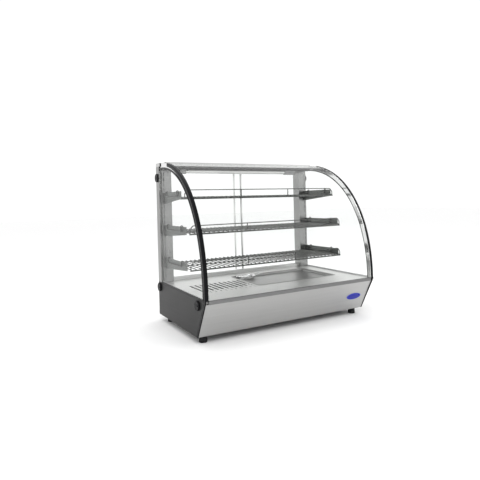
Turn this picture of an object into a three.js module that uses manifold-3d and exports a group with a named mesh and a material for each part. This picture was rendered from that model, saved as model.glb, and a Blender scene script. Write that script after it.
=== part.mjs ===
// Countertop hot food display case: heated steel base with rubber feet, curved front glass held
// between two side trims, rear posts with hook slots, three hanging wire shelves on brackets,
// a lamp under the top panel and two sliding glass doors at the back.
// Millimetres, +Z up, front towards -Y, origin at the bottom centre.
import * as THREE from "three";
import { mergeVertices } from "three/addons/utils/BufferGeometryUtils.js";
import Module from "manifold-3d";

const wasm = await Module();
wasm.setup();

// Driving dimensions
const halfWidth = 385;
const halfDepth = 239;
const caseHeight = 666;
const footHeight = 26;
const baseTop = 164;
const sheet = 1.5;
const gap = 0.3;

// Base front: a sheet that leans back towards its bottom edge
const frontTopY = -237;
const frontBottomY = -164;
const frontPanelTop = 152;
const frontLean = (frontBottomY - frontTopY) / (baseTop - footHeight);

// Side trims follow one quarter of a superellipse from the base to the top
const curveCentreY = 199;
const curveCentreZ = 162;
const curveDepth = halfDepth + curveCentreY;
const curveRise = caseHeight - curveCentreZ;
const curvePower = 2.2;
const curveSteps = 26;

const trimInnerX = 372;
const trimOuterX = 380.7;
const trimWidth = 20;
const coverFlangeWidth = 15;
const coverLip = 1.5;
const coverTopY = 104;
const barEndY = 191.5;
const bandGap = 0.7;
const gasketWidth = 7;
const glassThickness = 4;
const sideGlassX = 376.5;
const frontGlassInset = 3;

// Rear posts
const postInnerX = 334;
const postFrontY = 192;
const postGlassRebateX = 375.7;
const postGlassRebateY = 202.3;
const postTop = 650.5;
const slotPitch = 22.5;
const slotWidth = 3;
const slotHeight = 16;
const slotCount = 20;
const firstSlotZ = 184;

// Shelves hang from brackets; a shelf level is the top edge of its brackets
const bracketX = 368;
const bracketFrontHeight = 30;
const bracketRearHeight = 48;
const hookDrop = 10;
const shelfDrop = 23;
const shelfRodPitch = 20;
const shelfRodRadius = 2;
const railRadius = 3;
const fenceRadius = 2;
const shelfHalfWidth = 363;
const fenceAhead = 17;
const fenceUprightX = 115;
const shelves = [
  { name: "top", level: 541, frontY: -4 },
  { name: "middle", level: 406, frontY: -47 },
  { name: "bottom", level: 271, frontY: -47 },
];

// Sliding doors
const trackHalfWidth = postInnerX - gap;
const trackBottomTop = 178;
const trackTopBottom = 632;
const doorBottom = 168;
const doorTop = 644;
const doorOverlap = 18;
const innerDoorY = 214;
const outerDoorY = 227;
const doorHalfThickness = 2;
const pullDepth = 8;

// Deck
const deckTop = 163.7;
const deckFrontY = -227;
const airSlots = { count: 11, firstX: -318, pitch: 21.2, width: 8.5, frontY: -74, rearY: 58 };
const shortSlots = { width: 3, frontY: -106, rearY: -83 };
const pan = { x0: -88, x1: 308, y0: -98, y1: 150, depth: 11, rim: 7 };
const dish = { x: -32, y: 106, length: 84, width: 54, height: 14, wall: 1.2, rim: 4 };
const dishHandle = { reach: 30, rise: 4, halfWidth: 9, radius: 2 };

const footX = 352;
const feetY = { front: -138, rear: 186 };

// Hot air: a heater above a fan, under the air slots
const fanX = -200;
const fanRadius = 74;
const fanPlateZ = 84;
const heaterZ = 126;
const heaterPasses = [-50, -20, 10, 40];
const heaterEnds = [-320, -90];
const heaterTerminalX = -60;

// Rear control panel
const rearPanelY = 221;
const controlZ = 100;
const knobX = -250;
const powerX = -190;
const lightX = -150;
const rockerTilt = 0.16;
const gland = { x: 320, z: 55, holeRadius: 8 };
const vents = { count: 10, firstX: 40, pitch: 16, width: 6, bottom: 70, top: 130 };

const object = new THREE.Group();

// ---------------------------------------------------------------- shape helpers

function solidOf(geometry) {
  const bare = geometry.clone();
  bare.deleteAttribute("normal");
  bare.deleteAttribute("uv");
  const welded = mergeVertices(bare, 1e-4);
  const mesh = new wasm.Mesh({
    numProp: 3,
    vertProperties: new Float32Array(welded.attributes.position.array),
    triVerts: new Uint32Array(welded.index.array),
  });
  return new wasm.Manifold(mesh);
}

function geometryOf(solid) {
  const mesh = solid.getMesh();
  const geometry = new THREE.BufferGeometry();
  geometry.setAttribute("position", new THREE.BufferAttribute(new Float32Array(mesh.vertProperties), 3));
  geometry.setIndex(new THREE.BufferAttribute(new Uint32Array(mesh.triVerts), 1));
  return geometry;
}

function join(...geometries) {
  const solids = geometries.map(solidOf);
  return geometryOf(solids.slice(1).reduce((sum, solid) => sum.add(solid), solids[0]));
}

function cut(geometry, ...tools) {
  return geometryOf(tools.reduce((rest, tool) => rest.subtract(solidOf(tool)), solidOf(geometry)));
}

function box(x0, x1, y0, y1, z0, z1) {
  const geometry = new THREE.BoxGeometry(x1 - x0, y1 - y0, z1 - z0);
  return geometry.translate((x0 + x1) / 2, (y0 + y1) / 2, (z0 + z1) / 2);
}

function shapeOf(points) {
  return new THREE.Shape(points.map(([a, b]) => new THREE.Vector2(a, b)));
}

function extrude(shape, depth, curveSegments = 8) {
  return new THREE.ExtrudeGeometry(shape, { depth, bevelEnabled: false, curveSegments });
}

// A side-on outline of (y, z) points, as thick as x0 to x1
function alongX(points, x0, x1) {
  const basis = new THREE.Matrix4().makeBasis(
    new THREE.Vector3(0, 1, 0), new THREE.Vector3(0, 0, 1), new THREE.Vector3(1, 0, 0));
  return extrude(shapeOf(points), x1 - x0).applyMatrix4(basis).translate(x0, 0, 0);
}

// A front-on shape in (x, z), as deep as y0 to y1
function alongY(shape, y0, y1, curveSegments) {
  const geometry = extrude(shape, y1 - y0, curveSegments).rotateX(Math.PI / 2);
  return geometry.translate(0, y1, 0);
}

// A plan shape in (x, y), as high as z0 to z1
function alongZ(shape, z0, z1, curveSegments) {
  return extrude(shape, z1 - z0, curveSegments).translate(0, 0, z0);
}

function rod(from, to, radius, sides = 6) {
  const start = new THREE.Vector3(...from);
  const end = new THREE.Vector3(...to);
  const length = start.distanceTo(end);
  const direction = end.clone().sub(start).normalize();
  const geometry = new THREE.CylinderGeometry(radius, radius, length, sides);
  geometry.applyQuaternion(new THREE.Quaternion().setFromUnitVectors(new THREE.Vector3(0, 1, 0), direction));
  const middle = start.add(end).multiplyScalar(0.5);
  return geometry.translate(middle.x, middle.y, middle.z);
}

function tubeAlong(points, radius, steps, sides = 8) {
  const section = new THREE.Shape();
  section.absarc(0, 0, radius, 0, 2 * Math.PI);
  const path = new THREE.CatmullRomCurve3(points.map((p) => new THREE.Vector3(...p)), false, "chordal");
  const options = { extrudePath: path, steps, curveSegments: sides / 2, bevelEnabled: false };
  return new THREE.ExtrudeGeometry(section, options);
}

function lathe(profile, segments) {
  const points = profile.map(([r, h]) => new THREE.Vector2(r, h));
  return new THREE.LatheGeometry(points, segments).rotateX(Math.PI / 2);
}

// The same piece for the other side of the case
function mirrorX(geometry) {
  const flipped = geometry.clone().scale(-1, 1, 1);
  const indexed = flipped.index ? flipped : mergeVertices(flipped);
  const index = indexed.index;
  for (let i = 0; i < index.count; i += 3) {
    const keep = index.getX(i);
    index.setX(i, index.getX(i + 1));
    index.setX(i + 1, keep);
  }
  return indexed;
}

function stadium(length, width) {
  const radius = width / 2;
  const straight = length / 2 - radius;
  const shape = new THREE.Shape();
  shape.moveTo(-straight, -radius);
  shape.lineTo(straight, -radius);
  shape.absarc(straight, 0, radius, -Math.PI / 2, Math.PI / 2);
  shape.lineTo(-straight, radius);
  shape.absarc(-straight, 0, radius, Math.PI / 2, 1.5 * Math.PI);
  return shape;
}

function add(name, geometry, color, roughness, metalness) {
  const material = new THREE.MeshStandardMaterial({ color, roughness, metalness });
  const mesh = new THREE.Mesh(geometry, material);
  mesh.name = name;
  object.add(mesh);
  return mesh;
}

function addPair(name, rightGeometry, color, roughness, metalness) {
  add(`${name}_right`, rightGeometry, color, roughness, metalness);
  add(`${name}_left`, mirrorX(rightGeometry), color, roughness, metalness);
}

const steel = [0xc4c4c2, 0.32, 1];
const polished = [0xd8d8d8, 0.12, 1];
const sideSteel = [0x5a5a5a, 0.4, 0.8];
const black = [0x141414, 0.5, 0];
const clear = [0xe8f2f0, 0.05, 0];

// ---------------------------------------------------------------- curve of the case

function curvePoint(turn, inset) {
  const y = curveCentreY - (curveDepth - inset) * Math.abs(Math.cos(turn)) ** (2 / curvePower);
  const z = curveCentreZ + (curveRise - inset) * Math.sin(turn) ** (2 / curvePower);
  return [y, z];
}

// Points from the front foot of the curve up to the height where it reaches endY
function curvePoints(inset, endY = curveCentreY) {
  const cosine = ((curveCentreY - endY) / (curveDepth - inset)) ** (curvePower / 2);
  const lastTurn = Math.acos(cosine);
  return Array.from({ length: curveSteps + 1 }, (_, i) => curvePoint((lastTurn * i) / curveSteps, inset));
}

function frontPanelY(z) {
  return frontTopY + frontLean * (baseTop - z);
}

// ---------------------------------------------------------------- base

function addBase() {
  addFrontPanel();
  addSidePanels();
  addRearPanel();
  addBottomTray();
  addDeck();
  addPan();
  addDish();
  addFeet();
  addBadge();
}

function addFrontPanel() {
  const fold = 12;
  const outer = [[frontPanelY(frontPanelTop), frontPanelTop], [frontBottomY, footHeight]];
  const lipEnd = frontBottomY + fold;
  const profile = [
    [outer[0][0] + fold, frontPanelTop], outer[0], outer[1],
    [lipEnd, footHeight], [lipEnd, footHeight + sheet], [frontBottomY + sheet, footHeight + sheet],
    [outer[0][0] + sheet, frontPanelTop - sheet],
    [outer[0][0] + fold, frontPanelTop - sheet],
  ];
  add("base_front_panel", alongX(profile, -trimOuterX, trimOuterX), ...steel);

  const channelFront = -halfDepth + 0.7;
  const channelRear = deckFrontY - gap;
  const channelTop = baseTop + 1;
  const grooveFloor = 156.5;
  const grooveFront = -halfDepth + frontGlassInset - gap;
  const grooveRear = grooveFront + glassThickness + 2 * gap;
  const channel = [
    [channelFront, frontPanelTop + gap], [channelRear, frontPanelTop + gap], [channelRear, channelTop],
    [grooveRear, channelTop], [grooveRear, grooveFloor], [grooveFront, grooveFloor],
    [grooveFront, channelTop], [channelFront, channelTop],
  ];
  add("front_glass_channel", alongX(channel, -trimInnerX + gap, trimInnerX - gap), 0x8f9090, 0.35, 0.9);
}

function addSidePanels() {
  const inset = 8.3;
  const lip = 14;
  const inner = halfWidth - sheet;
  const outline = [
    [halfDepth, footHeight], [halfDepth, baseTop],
    [frontTopY + inset, baseTop], [frontBottomY + inset, footHeight],
  ];
  const rearLip = box(inner - lip, halfWidth, halfDepth - sheet, halfDepth, footHeight, baseTop - 2);
  const bottomLip = box(inner - lip, halfWidth, frontBottomY + 13, halfDepth, footHeight, footHeight + sheet);
  addPair("base_side_panel", join(alongX(outline, inner, halfWidth), rearLip, bottomLip), ...sideSteel);
}

function addRearPanel() {
  const reach = halfWidth - sheet - gap;
  const plate = box(-reach, reach, rearPanelY, rearPanelY + sheet, footHeight + 2.5, baseTop - 4);
  const knobHole = rod([knobX, rearPanelY - 5, controlZ], [knobX, rearPanelY + 5, controlZ], 4, 12);
  const through = [rearPanelY - 5, rearPanelY + 5];
  const glandHole = rod([gland.x, through[0], gland.z], [gland.x, through[1], gland.z], gland.holeRadius, 12);
  const switchHoles = [powerX, lightX].map((x) =>
    box(x - 11, x + 11, ...through, controlZ - 14, controlZ + 14));
  const ventHoles = [];
  for (let i = 0; i < vents.count; i += 1) {
    const x = vents.firstX + i * vents.pitch;
    ventHoles.push(box(x - vents.width / 2, x + vents.width / 2, ...through, vents.bottom, vents.top));
  }
  add("base_rear_panel", cut(plate, knobHole, glandHole, ...switchHoles, ...ventHoles), ...steel);
}

function addBottomTray() {
  const reach = halfWidth - sheet - 14 - gap;
  const rear = halfDepth - sheet - gap;
  const front = frontBottomY + 12 + gap;
  const plate = box(-reach, reach, front, rear, footHeight, footHeight + sheet);
  const rearLip = box(-reach, reach, rear - sheet, rear, footHeight, footHeight + 18);
  const intake = [];
  for (let i = 0; i < 8; i += 1) {
    const x = fanX + (i - 3.5) * vents.pitch;
    const half = vents.width / 2;
    intake.push(box(x - half, x + half, -40, 40, footHeight - 5, footHeight + 5));
  }
  add("base_bottom_tray", cut(join(plate, rearLip), ...intake), ...steel);
}

function addDeck() {
  const reach = halfWidth - sheet - gap;
  const rear = halfDepth - sheet - gap;
  const plate = box(-reach, reach, deckFrontY, rear, deckTop - sheet, deckTop);
  const foldReach = trimOuterX - gap;
  const frontFold = box(-foldReach, foldReach, deckFrontY, deckFrontY + sheet, 154, deckTop);
  const rearFold = box(-reach, reach, rear - sheet, rear, 146, deckTop);
  const panHole = box(pan.x0 + pan.rim, pan.x1 - pan.rim, pan.y0 + pan.rim, pan.y1 - pan.rim, 150, 170);
  const slots = [];
  for (let i = 0; i < airSlots.count; i += 1) {
    const x = airSlots.firstX + i * airSlots.pitch;
    const half = airSlots.width / 2;
    slots.push(box(x - half, x + half, airSlots.frontY, airSlots.rearY, 150, 170));
    const thin = shortSlots.width / 2;
    slots.push(box(x - thin, x + thin, shortSlots.frontY, shortSlots.rearY, 150, 170));
  }
  add("deck_plate", cut(join(plate, frontFold, rearFold), panHole, ...slots), 0xd4d4d2, 0.3, 1);
}

function addPan() {
  const rimZ = deckTop + gap;
  const wall = pan.rim + gap;
  const floorZ = rimZ + 1 - pan.depth;
  const rim = box(pan.x0, pan.x1, pan.y0, pan.y1, rimZ, rimZ + 1);
  const well = box(pan.x0 + wall, pan.x1 - wall, pan.y0 + wall, pan.y1 - wall, floorZ, rimZ + 0.5);
  const inner = wall + 1;
  const hollow = box(pan.x0 + inner, pan.x1 - inner, pan.y0 + inner, pan.y1 - inner, floorZ + 1, rimZ + 5);
  add("water_pan", cut(join(rim, well), hollow), 0xa8a8a6, 0.35, 1);
}

function addDish() {
  const base = deckTop + gap + 1 - pan.depth + 1 + gap;
  const top = base + dish.height;
  const arc = 5;
  const inner = [dish.length - 2 * dish.wall, dish.width - 2 * dish.wall];
  const outer = alongZ(stadium(dish.length, dish.width), base, top, arc);
  const rimOutline = stadium(dish.length + 2 * dish.rim, dish.width + 2 * dish.rim);
  const rim = alongZ(rimOutline, top - dish.wall, top, arc);
  const hollow = alongZ(stadium(...inner), base + dish.wall, top + dish.wall, arc);
  const { reach, rise, halfWidth: spread, radius } = dishHandle;
  const root = dish.length / 2;
  const rootZ = top - 0.8;
  const halfLoop = [[root, spread, rootZ], [root + reach / 2, spread + 1, rootZ + 0.6 * rise],
    [root + reach, spread / 2, rootZ + rise]];
  const otherHalf = halfLoop.map(([x, y, z]) => [x, -y, z]).reverse();
  const loop = tubeAlong([...halfLoop, ...otherHalf], radius, 14, 6);
  add("water_dish", join(cut(join(outer, rim), hollow), cut(loop, hollow)), ...polished)
    .position.set(dish.x, dish.y, 0);
}

function addFeet() {
  const profile = [[0, 0], [13.5, 0], [15, 1.5], [14, footHeight - gap], [0, footHeight - gap]];
  for (const [place, y] of Object.entries(feetY)) {
    for (const [side, x] of [["left", -footX], ["right", footX]]) {
      add(`foot_${place}_${side}`, lathe(profile, 18), 0x101010, 0.8, 0).position.set(x, y, 0);
    }
  }
}

function addBadge() {
  const oval = new THREE.Shape();
  oval.absellipse(0, 0, 38, 16, 0, 2 * Math.PI);
  const badge = add("badge", extrude(oval, 1.4, 18), 0x2233b8, 0.3, 0);
  const height = 88;
  badge.rotation.x = Math.PI / 2 + Math.atan(frontLean);
  const normal = new THREE.Vector3(0, -1, -frontLean).normalize();
  const place = new THREE.Vector3(311, frontPanelY(height), height).addScaledVector(normal, gap);
  badge.position.copy(place);
}

// ---------------------------------------------------------------- heating and controls

function addHeating() {
  const route = [[heaterTerminalX, heaterPasses[0], heaterZ]];
  heaterPasses.forEach((y, i) => {
    const [near, far] = i % 2 === 0 ? [heaterEnds[1], heaterEnds[0]] : heaterEnds;
    route.push([near, y, heaterZ], [(near + far) / 2, y, heaterZ], [far, y, heaterZ]);
  });
  route.push([heaterTerminalX, heaterPasses[3], heaterZ]);
  add("heating_element", tubeAlong(route, 4, 52, 6), 0x4a4a48, 0.6, 0.8);

  const [low, high] = [fanPlateZ, fanPlateZ + 24];
  const [inside, outside] = [fanRadius - 2, fanRadius + 2];
  const ring = lathe([[inside, low], [outside, low], [outside, high], [inside, high], [inside, low]], 28);
  const bore = (radius, sides) => rod([fanX, 0, low - 10], [fanX, 0, high], radius, sides);
  const plate = cut(box(fanX - 95, fanX + 95, -95, 95, low, low + sheet), bore(fanRadius, 28));
  const motorBar = cut(box(fanX - 90, fanX + 90, -9, 9, low - 2, low + 0.5), bore(6, 12));
  add("fan_shroud", join(ring.translate(fanX, 0, 0), plate, motorBar), 0xb0b0ae, 0.5, 0.9);

  const motor = lathe([[0, 40], [30, 40], [32, 42], [32, 76], [26, 80], [8, 80], [8, 81.5], [3, 81.5],
    [3, 86.6], [0, 86.6]], 20);
  add("fan_motor", motor, 0x3c3c3c, 0.6, 0.6).position.set(fanX, 0, 0);

  const hub = rod([0, 0, 87], [0, 0, 102], 18, 16);
  const blades = [];
  for (let i = 0; i < 5; i += 1) {
    const blade = new THREE.BoxGeometry(52, 26, 2).rotateX(0.5).translate(42, 0, 94.5);
    blades.push(blade.rotateZ((i * 2 * Math.PI) / 5));
  }
  add("fan_impeller", join(hub, ...blades), 0x9a9a98, 0.5, 0.8).position.set(fanX, 0, 0);

  const half = 22;
  const regulator = box(knobX - half, knobX + half, rearPanelY - 40, rearPanelY - gap,
    controlZ - half, controlZ + half);
  const nose = rod([knobX, rearPanelY - 2, controlZ], [knobX, rearPanelY + sheet, controlZ], 3.4, 12);
  add("thermostat_body", join(regulator, nose), 0xe0ddd2, 0.6, 0);
}

function addControls() {
  const outer = rearPanelY + sheet;
  const skirt = lathe([[0, 0], [21, 0], [21, 2], [16, 4], [14.5, 13], [12, 14.5], [0, 14.5]], 28);
  const pointer = box(-1.5, 1.5, 3, 14, 13.5, 15.5);
  const knob = add("thermostat_knob", join(skirt, pointer), 0x161616, 0.5, 0);
  knob.rotation.x = -Math.PI / 2;
  knob.position.set(knobX, outer + 0.5, controlZ);

  for (const [name, x, color] of [["power_rocker", powerX, 0x1c7a34], ["light_rocker", lightX, 0x1a1a1a]]) {
    const crown = shapeOf([[-12, -4], [12, -4], [12, 4.2], [0, 2.4], [-12, 4.2]]);
    const geometry = alongY(crown, -9, 9).rotateZ(Math.PI / 2).rotateX(-rockerTilt);
    const rocker = add(name, geometry, color, 0.4, 0);
    rocker.rotation.x = -Math.PI / 2;
    rocker.position.set(x, outer + 1, controlZ);
  }

  const glandProfile = [[0, -10], [7.4, -10], [7.4, 0.6], [12, 0.6], [12, 5], [9, 5], [8, 12], [4.5, 12],
    [4.5, -4], [0, -4]];
  const fitting = add("cable_gland", lathe(glandProfile, 20), 0x202020, 0.6, 0);
  fitting.rotation.x = -Math.PI / 2;
  fitting.position.set(gland.x, outer, gland.z);
}

// ---------------------------------------------------------------- frame, lamp and doors

function addFrame() {
  addPosts();
  addTopPanel();
  addLamp();
  addTracks();
  addDoors();
}

function addPosts() {
  const outline = shapeOf([
    [postInnerX, postFrontY], [postGlassRebateX, postFrontY], [postGlassRebateX, postGlassRebateY],
    [halfWidth, postGlassRebateY], [halfWidth, halfDepth], [postInnerX, halfDepth],
  ]);
  const w = sheet;
  const hollow = [
    [postInnerX + w, postFrontY + w], [postGlassRebateX - w, postFrontY + w],
    [postGlassRebateX - w, postGlassRebateY + w], [halfWidth - w, postGlassRebateY + w],
    [halfWidth - w, halfDepth - w], [postInnerX + w, halfDepth - w],
  ];
  outline.holes.push(new THREE.Path(hollow.reverse().map(([x, y]) => new THREE.Vector2(x, y))));
  const slots = [];
  for (let i = 0; i < slotCount; i += 1) {
    const z = firstSlotZ + i * slotPitch;
    slots.push(box(bracketX - slotWidth / 2, bracketX + slotWidth / 2, postFrontY - 3, postFrontY + 4,
      z, z + slotHeight));
  }
  const post = cut(alongZ(outline, baseTop + gap, postTop), ...slots);
  addPair("rear_post", post, 0xb8b8b6, 0.35, 1);
}

function addTopPanel() {
  const frontY = 146;
  const narrow = trimInnerX - gap;
  const wideY = postFrontY + gap;
  const skirtBottom = postTop + gap;
  const plate = box(-narrow, narrow, frontY, halfDepth, caseHeight - sheet, caseHeight);
  const wings = box(-halfWidth, halfWidth, wideY, halfDepth, caseHeight - sheet, caseHeight);
  const front = box(-narrow, narrow, frontY, frontY + sheet, skirtBottom, caseHeight);
  const rear = box(-halfWidth, halfWidth, halfDepth - sheet, halfDepth, skirtBottom, caseHeight);
  const ends = [-1, 1].map((side) => {
    const outer = side * halfWidth;
    const inner = side * (halfWidth - sheet);
    return box(Math.min(outer, inner), Math.max(outer, inner), wideY, halfDepth, skirtBottom, caseHeight);
  });
  add("top_panel", join(plate, wings, front, rear, ...ends), 0xd0d0ce, 0.3, 1);
}

function addLamp() {
  const railTop = postTop;
  const railBottom = 637;
  const rail = box(-trimInnerX + gap, trimInnerX - gap, 147, 168, railBottom, railTop);
  const relief = box(-trimInnerX - 1, trimInnerX + 1, 149, 166, railBottom - 5, railTop - 2);
  add("top_front_rail", cut(rail, relief), 0x2c2c2c, 0.45, 0.6);

  const lampY = 158;
  const lampZ = 627.5;
  const tubeStart = -283;
  const tubeEnd = 222;
  const tubeRadius = 7.5;
  const tube = rod([tubeStart + gap, lampY, lampZ], [tubeEnd - gap, lampY, lampZ], tubeRadius, 14);
  add("lamp_tube", tube, 0xf4f4f0, 0.4, 0);
  for (const [side, x0, x1] of [["left", tubeStart - 22, tubeStart], ["right", tubeEnd, tubeEnd + 60]]) {
    const holder = box(x0, x1, lampY - 9, lampY + 9, lampZ - 9.5, railBottom - gap);
    const stem = box(x0, x1, lampY - 6, lampY + 6, lampZ, railTop - 2 - gap);
    add(`lamp_holder_${side}`, join(holder, stem), 0x8a8a88, 0.5, 0.5);
  }
}

// Two grooves side by side, opening up or down
function trackProfile(closedZ, openZ) {
  const grooveHalf = doorHalfThickness + 0.8;
  const floorZ = closedZ + Math.sign(openZ - closedZ) * 3;
  const edges = [];
  for (const y of [innerDoorY, outerDoorY]) {
    edges.push([y - grooveHalf, openZ], [y - grooveHalf, floorZ]);
    edges.push([y + grooveHalf, floorZ], [y + grooveHalf, openZ]);
  }
  const y0 = innerDoorY - 6;
  const y1 = outerDoorY + 6;
  return [[y0, closedZ], [y0, openZ], ...edges, [y1, openZ], [y1, closedZ]];
}

function addTracks() {
  const bottom = trackProfile(baseTop, trackBottomTop).reverse();
  add("door_track_bottom", alongX(bottom, -trackHalfWidth, trackHalfWidth), 0xd0d0ce, 0.35, 1);
  const top = trackProfile(postTop, trackTopBottom);
  add("door_track_top", alongX(top, -trackHalfWidth, trackHalfWidth), 0xd0d0ce, 0.35, 1);
}

function addDoors() {
  const glassEdge = doorOverlap - 3;
  const far = trackHalfWidth - 1;
  const doors = [
    { side: "left", y: innerDoorY, x0: -far, x1: glassEdge, pullX0: glassEdge - 3, pullX1: glassEdge + 3 },
    { side: "right", y: outerDoorY, x0: -glassEdge, x1: far, pullX0: -glassEdge - 3, pullX1: -glassEdge + 3 },
  ];
  for (const door of doors) {
    const half = doorHalfThickness;
    const pane = box(door.x0, door.x1, door.y - half, door.y + half, doorBottom, doorTop);
    add(`door_glass_${door.side}`, pane, ...clear);
    const bar = box(door.pullX0, door.pullX1, door.y - pullDepth / 2, door.y + pullDepth / 2,
      trackBottomTop + 4, trackTopBottom - 4);
    const groove = box(door.x0 - gap, door.x1 + gap, door.y - half - gap, door.y + half + gap,
      doorBottom, doorTop);
    add(`door_pull_${door.side}`, cut(bar, groove), 0xd6d6d6, 0.3, 0.6);
  }
}

// ---------------------------------------------------------------- glazing

function addGlazing() {
  const outer = curvePoints(frontGlassInset, 145);
  const inner = curvePoints(frontGlassInset + glassThickness, 145);
  const sill = 157;
  const pane = [[outer[0][0], sill], ...outer, ...inner.reverse(), [inner[inner.length - 1][0], sill]];
  add("front_glass", alongX(pane.reverse(), -trimInnerX + gap, trimInnerX - gap), ...clear);

  const barOuter = curvePoints(coverLip + bandGap, barEndY);
  const barInner = curvePoints(trimWidth, barEndY);
  const foot = baseTop + 1.5;
  const bar = closedBand(barOuter, barInner, foot);
  addPair("side_trim", alongX(bar, trimInnerX + gap, trimOuterX), ...polished);

  addCovers();
  addGaskets();
  addSideGlass();
}

// A band between two curves, squared off at the height of its foot
function closedBand(outer, inner, foot) {
  const above = (points) => points.filter(([, z]) => z > foot + 1);
  const outerPart = above(outer);
  const innerPart = above(inner);
  return [[innerPart[0][0], foot], ...innerPart, ...outerPart.reverse(), [outer[0][0], foot]];
}

function addCovers() {
  const strip = 7.5;
  const step = baseTop + gap;
  const outer = curvePoints(0, coverTopY);
  const under = curvePoints(coverFlangeWidth, coverTopY).filter(([, z]) => z > step + 1);
  const flange = [
    ...outer, ...under.reverse(), [under[under.length - 1][0], step], [frontTopY + strip, step],
    [frontBottomY + strip, footHeight], [frontBottomY - 0.8, footHeight], [frontTopY - 1.6, baseTop - 4],
  ];
  const lipOuter = curvePoints(0, coverTopY);
  const lipInner = curvePoints(coverLip, coverTopY);
  const lip = closedBand(lipOuter, lipInner, baseTop + 2.5);
  const cover = join(
    alongX(flange.reverse(), trimOuterX + gap, halfWidth), alongX(lip, trimInnerX + gap, halfWidth));
  addPair("trim_cover", cover, ...black);
}

function addGaskets() {
  const outer = curvePoints(trimWidth + bandGap);
  const inner = curvePoints(trimWidth + gasketWidth);
  const foot = baseTop + gap;
  const run = foot + 4;
  const rear = postGlassRebateY - gap;
  const innerAbove = inner.filter(([, z]) => z > run + 1);
  const loop = [
    [outer[0][0], foot], [rear, foot], [rear, run], [innerAbove[0][0], run], ...innerAbove,
    ...outer.filter(([, z]) => z > foot + 1).reverse(),
  ];
  addPair("glass_gasket", alongX(loop, postGlassRebateX + gap, halfWidth - 1.5), 0x3a3a3a, 0.6, 0);
}

function addSideGlass() {
  const edge = curvePoints(trimWidth + gasketWidth + bandGap);
  const sill = baseTop + gap + 4 + gap;
  const rear = postGlassRebateY - gap;
  const above = edge.filter(([, z]) => z > sill + 1);
  const rearTop = above[above.length - 1][1];
  const pane = [[above[0][0], sill], [rear, sill], [rear, rearTop], ...above.slice().reverse()];
  addPair("side_glass", alongX(pane, sideGlassX, sideGlassX + glassThickness), ...clear);
}

function addCaps() {
  const profile = [[0, 0], [17, 0], [18, 1.2], [18, 5], [16, 6.8], [0, 6.8]];
  const places = { rear_top: [220, 604], rear_lower: [220, 143], front_lower: [-176, 141] };
  for (const [place, [y, z]] of Object.entries(places)) {
    for (const [side, sign] of [["left", -1], ["right", 1]]) {
      const rib = box(-2.2, 2.2, -12, 12, 6, 8.2);
      const cap = add(`glass_cap_${place}_${side}`, join(lathe(profile, 24), rib), 0x121212, 0.45, 0);
      cap.rotation.y = (sign * Math.PI) / 2;
      cap.position.set(sign * (halfWidth + gap), y, z);
    }
  }
}

// ---------------------------------------------------------------- shelves

function addShelves() {
  for (const shelf of shelves) {
    const bracket = bracketGeometry(shelf);
    addPair(`shelf_bracket_${shelf.name}`, bracket, 0x7c7f7c, 0.4, 0.9);
    add(`shelf_${shelf.name}`, shelfGeometry(shelf), 0x9a9c98, 0.3, 1);
  }
}

function bracketGeometry({ level, frontY }) {
  const rear = postFrontY - gap;
  const hookEnd = postFrontY + sheet + gap;
  const tab = (top) => [
    [rear, top - 9], [hookEnd, top - 9], [hookEnd, top - 14],
    [hookEnd + 3, top - 14], [hookEnd + 3, top], [rear, top],
  ];
  const outline = [
    [frontY, level], [frontY, level - bracketFrontHeight], [rear, level - bracketRearHeight],
    ...tab(level - hookDrop - slotPitch), ...tab(level - hookDrop), [rear, level],
  ];
  return alongX(outline, bracketX - sheet / 2, bracketX + sheet / 2);
}

function shelfGeometry({ level, frontY }) {
  const floor = level - shelfDrop;
  const fenceY = frontY - fenceAhead;
  const rearY = postFrontY - 6;
  const under = floor - shelfRodRadius;
  const reach = shelfHalfWidth;
  const pieces = [];
  const half = 0.9 * shelfRodRadius;
  for (let x = -reach + 3; x <= reach - 3; x += shelfRodPitch) {
    pieces.push(box(x - half, x + half, fenceY + 1, rearY, floor - half, floor + half));
  }
  const railDepth = half + 2 * railRadius - 1;
  for (const y of [fenceY, rearY - railRadius]) {
    pieces.push(box(-reach, reach, y - railRadius, y + railRadius, floor - railDepth, floor - half + 1));
  }
  const middleY = (fenceY + rearY) / 2;
  pieces.push(box(-reach, reach, middleY - half, middleY + half, floor - 4 * half, floor - half - gap));
  const top = level + 4;
  const shoulder = 14;
  pieces.push(rod([-reach + shoulder, fenceY, top], [reach - shoulder, fenceY, top], fenceRadius));
  for (const side of [-1, 1]) {
    const bend = [side * (reach - shoulder), fenceY, top];
    pieces.push(rod(bend, [side * (reach - 2), fenceY, top - shoulder], fenceRadius));
    for (const x of [side * (reach - 2), side * fenceUprightX]) {
      const height = Math.abs(x) > fenceUprightX ? top - shoulder : top;
      pieces.push(box(x - half, x + half, fenceY - half, fenceY + half, under, height));
    }
    pieces.push(...hangerLoop(side, level, frontY, under));
  }
  return join(...pieces);
}

// A wire loop that rises inside a bracket, passes over its top edge and drops outside it
function hangerLoop(side, level, frontY, under) {
  const length = postFrontY - frontY;
  const inside = side * (shelfHalfWidth + 0.5);
  const outside = side * (bracketX + 4);
  const over = level + 2.5;
  const low = level - 17;
  const ends = [frontY + 0.2 * length, frontY + 0.83 * length];
  const half = 0.9 * shelfRodRadius;
  const wire = (x0, x1, y0, y1, z0, z1) =>
    box(Math.min(x0, x1) - half, Math.max(x0, x1) + half, y0 - half, y1 + half, z0 - half, z1 + half);
  const pieces = ends.flatMap((y) => [
    wire(inside, inside, y, y, under, over),
    wire(inside, outside, y, y, over, over),
    wire(outside, outside, y, y, low, over),
  ]);
  pieces.push(wire(outside, outside, ends[0], ends[1], low, low));
  pieces.push(wire(inside, inside, ends[0] - 6, ends[1] + 6, under, under));
  return pieces;
}

addBase();
addHeating();
addControls();
addFrame();
addGlazing();
addCaps();
addShelves();

export default object;
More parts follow.
